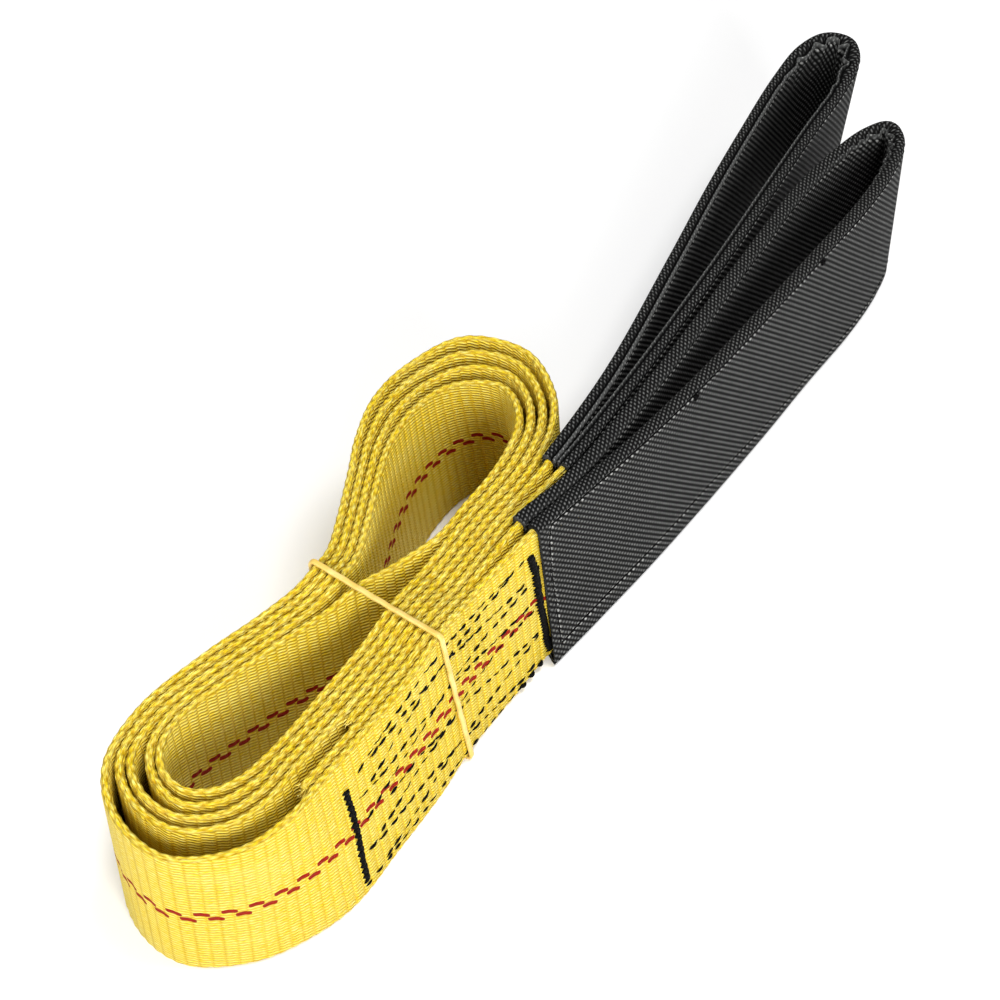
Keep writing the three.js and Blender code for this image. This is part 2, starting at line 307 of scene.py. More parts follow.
# A smooth mesh from points in millimetres, on the root body, with nothing below the floor. uv is given
# for each point; where the columns of a ring wrap, the last faces take the whole way round instead of
# the first point's value.
def makePiece(name, points, faces, uv=None, values=None, wrap=None):
    mesh = bpy.data.meshes.new(name)
    rows = [row for group in faces for row in np.asarray(group).tolist()]
    points[:, 2] = np.maximum(points[:, 2], 0.0)
    mesh.from_pydata((points + origin) * mm, [], rows)
    if uv is not None:
        corners = np.zeros(len(mesh.loops), np.int32)
        mesh.loops.foreach_get("vertex_index", corners)
        spread = uv[corners]
        if wrap is not None:
            count, columns, whole = wrap
            last = np.arange(columns - 1, count, columns)
            spread[last * 4 + 1, 1] = whole
            spread[last * 4 + 2, 1] = whole
        layer = mesh.uv_layers.new(name="strip")
        layer.data.foreach_set("uv", spread.astype(np.float32).ravel())
    for key, numbers in (values or {}).items():
        attribute = mesh.attributes.new(key, "FLOAT", "POINT")
        attribute.data.foreach_set("value", numbers.astype(np.float32).ravel())
    mesh.polygons.foreach_set("use_smooth", np.ones(len(mesh.polygons), bool))
    mesh.update()
    piece = bpy.data.objects.new(name, mesh)
    bpy.context.scene.collection.objects.link(piece)
    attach(piece, "root")
    print("%s: %d faces" % (name, len(mesh.polygons)))
    return piece


# Rings of circles round each centre line, given as distance along the strip, height and side, with
# flat caps. The circle's radius follows the radii; the result is carried to space by the strip.
def tubes(centres, radii, sides=6):
    along = np.gradient(centres, axis=1)
    along /= np.linalg.norm(along, axis=2)[..., None]
    level = np.stack([-along[..., 1], along[..., 0], 0 * along[..., 0]], -1)
    level /= np.maximum(np.linalg.norm(level, axis=2), 1e-6)[..., None]
    out = np.cross(along, level)
    turn = np.linspace(0, 2 * math.pi, sides, endpoint=False)[:, None]
    circle = np.cos(turn) * level[:, :, None] - np.sin(turn) * out[:, :, None]
    rings = centres[:, :, None] + radii[:, :, None, None] * circle
    flat = rings.reshape(-1, 3)
    points = onStrip(strip(flat[:, 0]), flat[:, 2:3], flat[:, 1:2])[:, 0]
    count, length = radii.shape
    starts = np.arange(count)[:, None] * length * sides
    quads = (ringGrid(length, sides).reshape(1, -1) + starts).reshape(-1, 4)
    around = np.arange(sides)
    first = starts + around[::-1]
    last = starts + (length - 1) * sides + around
    return points, [quads, first, last]


# A bundle of stitches: each runs straight from one place of the strip to another, stands off the
# face by half a sine and is thickest in its middle
def stitches(start, finish, radius, face, stand):
    t = np.linspace(0, 1, 6)
    bow = np.sin(math.pi * t)
    line = start[:, None] * (1 - t[:, None]) + finish[:, None] * t[:, None]
    side = face + np.sign(face) * (stand * bow[None] - 0.12) + 0 * line[..., 0]
    centres = np.concatenate([line, side[..., None]], 2)
    radii = radius[:, None] * (0.25 + 0.75 * np.sqrt(np.abs(bow)))[None]
    return centres, radii


# Several bundles of stitches as one
def joined(bundles):
    return [np.concatenate(arrays) for arrays in zip(*bundles)]


# A shader socket that can be used in arithmetic. Numbers alone are worked out before.
class Field:
    def __init__(self, tree, socket):
        self.tree = tree
        self.socket = socket

    def math(self, operation, *others, clamp=False):
        settings = {"operation": operation, "use_clamp": clamp}
        return self.tree.node("ShaderNodeMath", settings, [self, *others])

    def __add__(self, other):
        return self.math("ADD", other)

    def __sub__(self, other):
        return self.math("SUBTRACT", other)

    def __mul__(self, other):
        return self.math("MULTIPLY", other)

    def __truediv__(self, other):
        return self.math("DIVIDE", other)

    def __pow__(self, other):
        return self.math("POWER", other)

    def __radd__(self, other):
        return self.math("ADD", other)

    def __rmul__(self, other):
        return self.math("MULTIPLY", other)

    def __rsub__(self, other):
        return self.tree.node("ShaderNodeMath", {"operation": "SUBTRACT"}, [other, self])

    def __rtruediv__(self, other):
        return self.tree.node("ShaderNodeMath", {"operation": "DIVIDE"}, [other, self])

    def clamped(self):
        return self.math("ADD", 0.0, clamp=True)

    def wave(self):    # 1 at whole numbers and 0 half-way between
        return (self * (2 * math.pi)).math("COSINE") * 0.5 + 0.5

    def fract(self):
        return self.math("FRACT")

    def size(self):
        return self.math("ABSOLUTE")

    def step(self, edge, soft):    # 0 below the edge and 1 above it, over twice soft
        return ((self - (edge - soft)) / (2 * soft)).clamped()


# The node tree of one material
class Tree:
    def __init__(self, name):
        self.material = bpy.data.materials.new(name)
        self.material.use_nodes = True
        self.nodes = self.material.node_tree.nodes
        self.links = self.material.node_tree.links
        self.shader = self.nodes["Principled BSDF"]

    def put(self, socket, value):
        if isinstance(value, Field):
            self.links.new(value.socket, socket)
        else:
            socket.default_value = value

    def node(self, kind, settings=None, inputs=(), output=0):
        made = self.nodes.new(kind)
        for key, value in (settings or {}).items():
            setattr(made, key, value)
        pairs = inputs.items() if isinstance(inputs, dict) else enumerate(inputs)
        for key, value in pairs:
            self.put(made.inputs[key], value)
        return Field(self, made.outputs[output])

    def mixed(self, share, first, second):
        return self.node("ShaderNodeMix", {"data_type": "RGBA"}, {0: share, 6: first, 7: second}, 2)

    def noise(self, vector, scale, detail=2.0):
        return self.node("ShaderNodeTexNoise", {}, {"Vector": vector, "Scale": scale, "Detail": detail})

    def vector(self, x, y, z=0.0):
        return self.node("ShaderNodeCombineXYZ", {}, [x, y, z])

    def objectPlace(self):    # in millimetres
        place = self.node("ShaderNodeTexCoord", {}, (), "Object")
        return self.node("ShaderNodeVectorMath", {"operation": "SCALE"}, {0: place, "Scale": 1 / mm})

    def stripPlace(self):    # millimetres along the strip and up or round it
        uv = self.node("ShaderNodeUVMap", {"uv_map": "strip"})
        split = "ShaderNodeSeparateXYZ"
        return self.node(split, {}, [uv], 0), self.node(split, {}, [uv], 1)

    def attribute(self, name):
        return self.node("ShaderNodeAttribute", {"attribute_name": name}, (), 2)

    # depth is the bump's height in metres; the rest are the shader's own fixed values
    def finish(self, color, roughness, height=None, depth=0.0002, strength=1.0, **fixed):
        self.put(self.shader.inputs["Base Color"], color)
        self.put(self.shader.inputs["Roughness"], roughness)
        for key, value in fixed.items():
            self.shader.inputs[key.replace("_", " ")].default_value = value
        if height is not None:
            inputs = {"Strength": strength, "Distance": depth, "Height": height}
            self.put(self.shader.inputs["Normal"], self.node("ShaderNodeBump", {}, inputs))
        return self.material


def rgba(r, g, b):
    return (r, g, b, 1.0)


# Webbing

webbing = {
    "ribPitch": 3.1,        # one weft rib of the face and one bead of the woven edge
    "rowPitch": 1.12,       # one warp row, up the width
    "ringsPerRib": 5,
    "ribDepth": 0.10,
    "edgeTuck": 0.18,       # the edges are woven a little thinner than the body
    "beadHeight": 0.2,
    "beadSpread": 0.42,
    "beadRow": 0.52,        # each row of beads from the edge's middle, in half thicknesses
    "beadReach": 0.62,      # how far a bead's colour reaches from its row, in the same measure
    "beadSlant": 0.5,
    "streakShare": 0.55,    # of the edge's pattern; the beads have the rest
    "cellSlant": 0.85,
    "tracerGap": 1.15,      # each red row from the middle of the width
    "tracerDash": 3.7,
    "tracerTall": 1.6,
    "tracerSlant": 0.22,
    "yellow": rgba(0.88, 0.64, 0.012),
    # painted shade for the low parts of the weave
    "shadeYellow": rgba(0.55, 0.31, 0.001),
    # painted shade for the grooves between the layers
    "shadeBrown": rgba(0.16, 0.06, 0.001),
    # painted highlight for the raised weave, also used for paler wide patches of tone
    "paleAndHighlightYellow": rgba(0.98, 0.93, 0.34),
    "red": rgba(0.32, 0.012, 0.003),
}


# Closed outline of the strip: half circles over both edges joined by straight faces. Gives side,
# height and the outward direction in both.
def webbingSection():
    turn = np.linspace(0, math.pi, 7)
    lift = np.linspace(0, 1, 6)[1:-1]
    tall = route["webWidth"]
    flat = np.ones(len(lift))
    side = np.r_[-half * np.cos(turn), half * flat, half * np.cos(turn), -half * flat]
    height = np.r_[half - half * np.sin(turn), half + (tall - 2 * half) * lift,
                   tall - half + half * np.sin(turn), tall - half - (tall - 2 * half) * lift]
    outSide = np.r_[-np.cos(turn), flat, np.cos(turn), -flat]
    outUp = np.r_[-np.sin(turn), 0 * flat, np.sin(turn), 0 * flat]
    return side, height, outSide, outUp


# Ribs across the faces are a cosine of the distance along the strip, half a rib apart on the two
# faces. The woven edge has two rows of slanting beads: a cosine along the strip times a bell across.
def buildWebbing():
    step = webbing["ribPitch"] / webbing["ringsPerRib"]
    st = strip(np.linspace(0, webLength, int(webLength / step)))
    side, height, outSide, outUp = webbingSection()
    s = st["s"][:, None]
    lean = side[None] / half
    beat = 2 * math.pi * s / webbing["ribPitch"]
    onEdge = np.abs(outUp)[None] ** 0.6
    rib = webbing["ribDepth"] * np.cos(beat + math.pi * (side[None] > 0)) * (1 - onEdge)
    beads = 0
    for row, phase in ((-webbing["beadRow"], 0.0), (webbing["beadRow"], math.pi)):
        bell = np.exp(-((lean - row) / webbing["beadSpread"]) ** 2)
        slant = webbing["beadSlant"] * (lean - row)
        beads = beads + bell * (0.5 + 0.5 * np.cos(beat + phase + slant))
    grow = rib + onEdge * (webbing["beadHeight"] * beads - webbing["edgeTuck"])
    points = onStrip(st, side[None] + outSide[None] * grow, height[None] + outUp[None] * grow)
    rows, columns = grow.shape
    points = points.reshape(-1, 3)
    uv = np.stack([np.repeat(st["s"], columns), np.tile(height, rows)], 1)
    values = {"rim": np.tile(np.abs(outUp), rows), "lean": np.tile(side / half, rows)}
    around = np.arange(columns)
    faces = [ringGrid(rows, columns), [around[::-1]], [(rows - 1) * columns + around]]
    return makePiece("sling_webbing", points, faces, uv, values)


# Faces are columns of slanting cells, a wave along the strip times a wave up it that steps half a
# row from one column to the next. The edge's beads repeat the mesh's own rows and are broken up by a
# noise drawn out along the strip. Painted shade darkens the low parts of the weave and painted
# highlights pale its raised tops; a slow noise pales wide patches. Painted shade darkens the edge to
# brown by the third power of the lean, in the grooves between the layers.
def webbingMaterial():
    t = Tree("woven_webbing")
    s, h = t.stripPlace()
    rim = t.attribute("rim")
    lean = t.attribute("lean")
    face = lean.step(0.0, 0.02) * 2.0 - 1.0
    column = s / webbing["ribPitch"] + face * 0.25
    turn = ((column * 0.5).fract()).step(0.5, 0.01)
    row = h / webbing["rowPitch"] + 0.5 * turn - webbing["cellSlant"] * face * column.fract()
    gap = column.wave()
    cell = (1.0 - 0.6 * gap ** 5.0) * (0.12 + 0.88 * row.wave() ** 0.9)
    beads = None
    for place, phase in ((-webbing["beadRow"], 0.0), (webbing["beadRow"], 0.5)):
        away = lean - place
        bell = (1.0 - (away / webbing["beadReach"]) ** 2.0).clamped()
        along = s / webbing["ribPitch"] + phase + away * (webbing["beadSlant"] / (2 * math.pi))
        bead = bell * along.wave() ** 0.8
        beads = bead if beads is None else beads + bead
    fibre = t.noise(t.vector(s * 0.5, h * 4.0, lean * 3.0), 1.0, 3.0)
    streak = ((t.noise(t.vector(s * 0.38, h * 1.5, lean * 2.6), 1.0, 3.0) - 0.34) * 3.2).clamped()
    drift = t.noise(t.vector(s * 0.03, h * 0.08), 1.0, 2.0)
    edge = rim.step(0.35, 0.2)
    woven = (1 - webbing["streakShare"]) * beads + webbing["streakShare"] * streak
    raised = cell * (1.0 - edge) + woven * edge
    height = raised + 0.16 * fibre
    # painted shade: the low parts of the weave darken toward a deeper yellow
    deep = ((0.64 - raised) * 1.8).clamped() * (0.85 + 0.15 * edge)
    color = t.mixed(deep, webbing["yellow"], webbing["shadeYellow"])
    # painted highlight on the raised weave by a fine noise, plus paler wide patches by a slow noise
    pale = ((fibre - 0.41) * 4.2 * raised).clamped() * 0.85 + 0.5 * (drift - 0.5).clamped()
    color = t.mixed(pale.clamped(), color, webbing["paleAndHighlightYellow"])
    # painted shade: the woven edge darkens toward either face, in the grooves between the layers
    color = t.mixed((lean.size() ** 3.0 * edge).clamped() * 0.85, color, webbing["shadeBrown"])
    # two staggered rows of red dashes along the middle of either face
    beat = 2 * webbing["ribPitch"]
    tracer = None
    for sign, phase in ((-1, 0.0), (1, 0.5)):
        along = (s / beat + phase).fract() * beat - beat / 2
        middle = route["webWidth"] / 2 + sign * webbing["tracerGap"]
        up = h - middle - face * webbing["tracerSlant"] * along
        away = ((along * (2 / webbing["tracerDash"])).size() ** 6.0
                + (up * (2 / webbing["tracerTall"])).size() ** 3.0)
        dash = 1.0 - away.step(1.0, 0.25)
        tracer = dash if tracer is None else tracer + dash
    tracer = tracer.clamped()
    color = t.mixed(tracer, color, webbing["red"])
    rough = 0.62 - 0.22 * raised + 0.25 * tracer
    return t.finish(color, rough, height, 0.0008, 0.95, Specular_IOR_Level=0.12)


webbingPiece = buildWebbing()
webbingPiece.data.materials.append(webbingMaterial())
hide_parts("webbing")


# Stitching that joins the front eye's tail to the body, seen on the outer face

bodyFace = half + 0.02
stitching = {
    "pitch": 4.25,          # from one stitch of a row to the next
    "dash": 3.5,
    "radius": 0.34,
    "stand": 0.22,
    "fineShare": 0.30,      # share of the stitches that are pulled in to a hairline
    "wander": 0.13,
    # each bar: distance along the strip and height, from its top to its bottom
    "nearBar": [(477.4, 43.6), (475.8, 36.7), (475.6, 29.0), (475.3, 22.0), (474.4, 15.0), (473.9, 8.0),
                (472.9, 2.6)],
    "nearBarWide": 3.1,
    "nearBarPitch": 0.62,
    "tailBar": [(558.6, 40.2), (558.2, 29.6), (558.2, 22.4), (558.8, 13.9), (558.9, 4.4)],
    "tailBarWide": 2.5,
    "tailBarPitch": 1.1,
    # rows between the bars, in the same measures
    "rows": [
        [(478, 44.0), (485, 44.0), (491, 44.2), (502, 44.6), (509, 44.6), (518, 45.6), (524, 46.4),
         (529, 46.1), (535, 45.3), (541, 44.1), (547, 43.3), (553, 41.0), (557, 41.1)],
        [(484, 43.6), (491, 42.9), (498, 42.4), (505, 41.5), (509, 40.6), (514, 40.0), (519, 40.6),
         (524, 41.6), (528, 42.2), (534, 42.2), (541, 42.0), (549, 41.2)],
        [(479, 35.8), (488, 36.4), (498, 37.8), (506, 38.3), (510, 38.7), (514, 40.6), (520, 41.0),
         (526, 40.5), (530, 39.7), (535, 38.3), (539, 37.3), (543, 36.1), (549, 34.0), (554, 33.0)],
        [(478, 33.8), (484, 33.7), (491, 33.2), (498, 33.3), (506, 32.1), (510, 31.4), (516, 31.2),
         (524, 31.6), (530, 32.8), (536, 32.3), (543, 31.9), (549, 31.9), (556, 32.9)],
        [(478, 26.0), (489, 27.4), (495, 28.1), (501, 29.2), (509, 29.4), (514, 30.4), (520, 31.2),
         (527, 30.4), (534, 29.2), (541, 27.6), (548, 25.6), (552, 24.2), (557, 23.0)],
        [(477, 22.9), (484, 23.8), (494, 23.8), (501, 22.6), (506, 21.9), (509, 21.0), (515, 20.4),
         (519, 20.2), (523, 21.1), (527, 22.1), (534, 23.2), (541, 22.6), (547, 22.4)],
        [(476, 12.9), (483, 14.7), (490, 15.9), (497, 16.6), (504, 18.1), (509, 18.4), (515, 19.3),
         (522, 19.8), (530, 19.8), (536, 18.5), (543, 16.4), (549, 14.9), (553, 13.5), (558, 13.4)],
        [(476, 12.2), (483, 11.9), (491, 10.9), (499, 10.4), (504, 9.9), (508, 8.6), (512, 8.0),
         (515, 8.4), (519, 9.6), (523, 10.6), (527, 12.2), (539, 12.6), (549, 12.3), (557, 13.2)],
        [(479, 3.4), (487, 4.0), (494, 4.7), (503, 6.0), (510, 6.9), (514, 8.2), (519, 9.4), (526, 9.0),
         (533, 7.4), (541, 5.6), (547, 4.7), (553, 4.0)],
        [(475, 1.5), (482, 1.6), (491, 1.5), (500, 1.5), (509, 1.7), (516, 2.6), (522, 3.3), (530, 3.5),
         (541, 3.0), (550, 3.1), (560, 3.6)],
    ],
    # knots along the lower edge beside the near bar
    "knots": [(476.5, 0.9), (480.5, 1.0), (484.5, 1.2)],
    "knotRun": (2.6, 0.9),
    "knotRadius": 0.62,
    "barRadius": 0.46,
    "black": rgba(0.0015, 0.0015, 0.0015),
    "sheen": rgba(0.014, 0.014, 0.014),
}


# Distances of a line's points along it
def measured(line):
    steps = np.linalg.norm(np.diff(np.array(line, float), axis=0), axis=1)
    return np.r_[0, np.cumsum(steps)]


# Places at distances along a line, straight between its points
def placed(line, at):
    steps = measured(line)
    across, up = np.array(line, float).T
    return np.stack([np.interp(at, steps, across), np.interp(at, steps, up)], 1)


# A bar: stitches that go from side to side across a line while they step down it, each end moved a
# little at random
def barStitches(line, wide, pitch, radius, rng):
    at = np.arange(0, measured(line)[-1], pitch)
    places = placed(line, at)
    places[:, 0] += np.where(np.arange(len(at)) % 2 == 0, 0.5, -0.5) * wide
    places = places + rng.normal(0, 0.12, places.shape) * wide / 2.7
    return stitches(places[:-1], places[1:], np.full(len(at) - 1, radius), bodyFace, 0.45)


# Rows: one stitch for each pitch along a line, with its length, place and radius moved at random
def rowStitches(line, rng):
    at = np.arange(rng.uniform(0.5, 2.0), measured(line)[-1] - 3.0, stitching["pitch"])
    at = at + rng.normal(0, 0.3, at.shape)
    length = stitching["dash"] * rng.uniform(0.75, 1.2, at.shape)
    fine = rng.random(at.shape) < stitching["fineShare"]
    radius = np.where(fine, 0.16, stitching["radius"] * rng.uniform(0.85, 1.2, at.shape))
    ends = []
    for where in (at, at + length):
        place = placed(line, where)
        ends.append(place + rng.normal(0, stitching["wander"], place.shape))
    return stitches(ends[0], ends[1], radius, bodyFace, stitching["stand"])


# Rows first, then each bar as a wide and a narrow pass, then the knots
def buildStitching():
    rng = np.random.default_rng(11)
    parts = [rowStitches(line, rng) for line in stitching["rows"]]
    radius = stitching["barRadius"]
    wide = stitching["nearBarWide"]
    parts.append(barStitches(stitching["nearBar"], wide, stitching["nearBarPitch"], radius, rng))
    parts.append(barStitches(stitching["nearBar"], wide * 0.6, 1.1, radius, rng))
    wide = stitching["tailBarWide"]
    parts.append(barStitches(stitching["tailBar"], wide, stitching["tailBarPitch"], radius, rng))
    parts.append(barStitches(stitching["tailBar"], wide * 0.5, stitching["tailBarPitch"] * 1.6, 0.42, rng))
    knots = np.array(stitching["knots"])
    size = np.full(len(knots), stitching["knotRadius"])
    parts.append(stitches(knots, knots + stitching["knotRun"], size, bodyFace, 0.4))
    points, faces = tubes(*joined(parts))
    return makePiece("sling_stitching", points, faces)


# Twisted thread: a fine noise lightens it and roughens its surface
def threadMaterial():
    t = Tree("black_thread")
    grain = t.noise(t.objectPlace(), 2.4, 2.0)
    color = t.mixed(((grain - 0.5) * 2.4).clamped(), stitching["black"], stitching["sheen"])
    return t.finish(color, 0.8 - 0.2 * grain, grain, 0.0002, 0.6, Specular_IOR_Level=0.06)


blackThread = threadMaterial()
stitchingPiece = buildStitching()
stitchingPiece.data.materials.append(blackThread)


# Loose fibres at the cut ends of both tails

fray = {
    "count": 150,           # at each end
    "radius": 0.17,
    "length": (0.8, 2.4),
    "rooted": 0.5,          # each fibre starts this far inside the end
    "margin": 0.6,          # and no nearer to the edges than this
    "yellow": rgba(0.86, 0.68, 0.08),
    "pale": rgba(0.97, 0.90, 0.40),
}


# Each fibre leaves the cut end in a line that bends off to a random side by the square of the way
def buildFray():
    rng = np.random.default_rng(5)
    t = np.linspace(0, 1, 5)
    centres = []
    for start, heading in ((0.0, -1.0), (webLength, 1.0)):
        n = fray["count"]
        length = rng.uniform(*fray["length"], n)[:, None]
        highest = route["webWidth"] - fray["margin"]
        root = np.stack([rng.uniform(fray["margin"], highest, n), rng.uniform(-0.8, 0.8, n)], 1)
        bend = rng.normal(0, 1, (n, 2)) * [0.8, 0.35]
        along = start + heading * (length * t - fray["rooted"])
        across = root[:, None] + bend[:, None] * (t ** 2)[:, None]
        centres.append(np.concatenate([along[..., None], across], 2))
    centres = np.concatenate(centres)
    radii = fray["radius"] * (1.05 - 0.7 * t)[None] * np.ones((len(centres), 1))
    points, faces = tubes(centres, radii, 4)
    return makePiece("sling_tail_fray", points, faces)


def frayMaterial():
    t = Tree("loose_fibre")
    grain = t.noise(t.objectPlace(), 1.1, 2.0)
    color = t.mixed(((grain - 0.35) * 2.0).clamped(), fray["yellow"], fray["pale"])
    return t.finish(color, 0.55, grain, 0.0001, 0.4, Specular_IOR_Level=0.5)


frayPiece = buildFray()
frayPiece.data.materials.append(frayMaterial())


# Eye sleeves

sleeve = {
    "ringStep": 0.8,
    "twillAlong": 2.0,      # repeat of the diagonal ribs along the sleeve
    "twillRound": 2.0,      # and round it
    "dotPitch": 2.15,       # beads of each rib, along the other diagonal
    "knobPitch": 1.15,      # finer grain over the rolled top
    "seamDip": 0.28,
    "seamWide": 0.5,
    "seamReach": 4.0,       # the seam distance is counted no further than this
    "seamLine": 0.36,       # half the width of the black line
    "glintBand": (0.42, 1.0),    # distances between which the cloth beside a seam catches the light
    "groove": {"a": 0.1, "b": 1.0},    # depth of the channel along the inner side of the top edge
    "tipRise": 1.7,         # the cloth bunches up round the tips
    "tipReach": 20.0,
    "rimTall": 14.0,        # over this height below the top
    "pucker": {"a": 0.85, "b": 1.5},    # how far the inner cloth gathers at the tip
    "fold": {"a": 4.4, "b": 8.0},       # and the length of its folds
    "black": rgba(0.0022, 0.0022, 0.0022),
    # painted sheen on the crests of the twill
    "ribSheen": rgba(0.15, 0.152, 0.148),
    "glint": rgba(0.48, 0.48, 0.46),
    # seams, by distance from the nearer end of the sleeve and height
    "endSeam": [(4.5, 4.6), (4.9, 13), (5.4, 21), (4.8, 28), (4.6, 36), (5.2, 45), (6.2, 49.1)],
    "lowerSeam": [(4.5, 4.6), (14, 5.6), (32, 6.0), (51, 6.1), (71, 6.5), (86, 5.7), (101, 4.3), (116, 3.4),
                  (146, 2.7), (200, 2.6)],
    "upperSeam": [(6.2, 49.1), (16, 49.3), (26, 49.5), (60, 49.7), (120, 49.6), (200, 49.5)],
    "stitchPitch": 3.3,
    "stitchLength": 2.7,
    "stitchRadius": 0.26,
    # thread ends left on the front leg's upper seam, as distances from the far end, and the loops of each:
    # where it starts and how far it runs
    "knots": {"a": (129.0, 64.7), "b": ()},
    "knotLoops": [[(0.0, 49.6), (-1.3, -0.9)], [(0.5, 49.7), (-0.2, -1.9)], [(-0.6, 49.3), (0.9, -1.2)]],
    "knotRadius": 0.5,
    "knotStand": 0.6,
    # how far the far end is cut back at the top, and how much more at the foot
    "trim": {"a": (1.7, 2.5), "b": (0.0, 0.0)},
    "trimReach": 6.0,
    # the foot of the outer face spreads toward the far end, by this much, over this length and height
    "flare": {"a": 2.1, "b": 0.0},
    "flareReach": 40.0,
    "flareTall": 25.0,
    "flareDraw": 1.58,      # and the end comes forward by this share of it
}
sleeveTop = route["webWidth"] + sleeveLift
sleeveSide = sleeveThick / 2


# Closed outline of the flat tube, from its lower inside corner round by the outer face: rounded lower
# edge, outer face, rolled top, inner face. The top comes plain and with a channel at its inner side.
def sleeveSection():
    low = -sleeveLift
    turn = np.linspace(0, math.pi, 9)
    lowerUp = low + 1.4 * (1 - np.sin(turn))
    outerUp = np.r_[np.arange(0.4, 7.6, 0.45), np.arange(9, 46, 2.4), np.arange(46.5, 49.9, 0.42)]
    topSide = np.array([1.95, 1.88, 1.62, 1.15, 0.55, 0.05, -0.35,
                        -0.62, -0.78, -0.95, -1.15, -1.42, -1.72, -1.92])
    plain = np.array([-1.3, -0.8, -0.35, -0.07, 0.0, -0.02, -0.06,
                      -0.12, -0.18, -0.26, -0.36, -0.55, -0.9, -1.5])
    channel = np.array([-1.3, -0.8, -0.35, -0.07, -0.02, -0.14, -0.5,
                        -1.15, -1.45, -1.2, -0.6, -0.34, -0.62, -1.5])
    innerUp = np.r_[np.arange(49.2, 40, -0.9), np.arange(39, 8, -2.4), np.arange(7.6, 0.4, -0.5)]
    side = np.r_[-sleeveSide * np.cos(turn), 0 * outerUp + sleeveSide, topSide * sleeveSide / 1.95,
                 0 * innerUp - sleeveSide]
    height = np.r_[lowerUp, outerUp, sleeveTop + plain, innerUp]
    sunk = np.r_[lowerUp, outerUp, sleeveTop + channel, innerUp]
    return side, height, sunk


# The cloth bunches round the tip by a bell of the distance off the eye's middle
def tipBell(offMiddle):
    return np.exp(-(offMiddle / sleeve["tipReach"]) ** 2)


# 0 at the foot of the rim and 1 at the sleeve's top
def rimShare(height):
    return np.clip((height - (sleeveTop - sleeve["rimTall"])) / sleeve["rimTall"], 0, 1)


# Seam line at a distance from the nearer end of the sleeve
def seamHeight(key, along):
    line = np.array(sleeve[key], float)
    return np.interp(along, line[:, 0], line[:, 1])


# Spread of the outer face's foot: a bell of the distance ahead to the far end, falling straight with
# the height
def flareAt(label, ahead, height):
    grow = sleeve["flare"][label] * np.exp(-(ahead / sleeve["flareReach"]) ** 2)
    return grow * np.clip(1 - (height + sleeveLift) / sleeve["flareTall"], 0, 1)
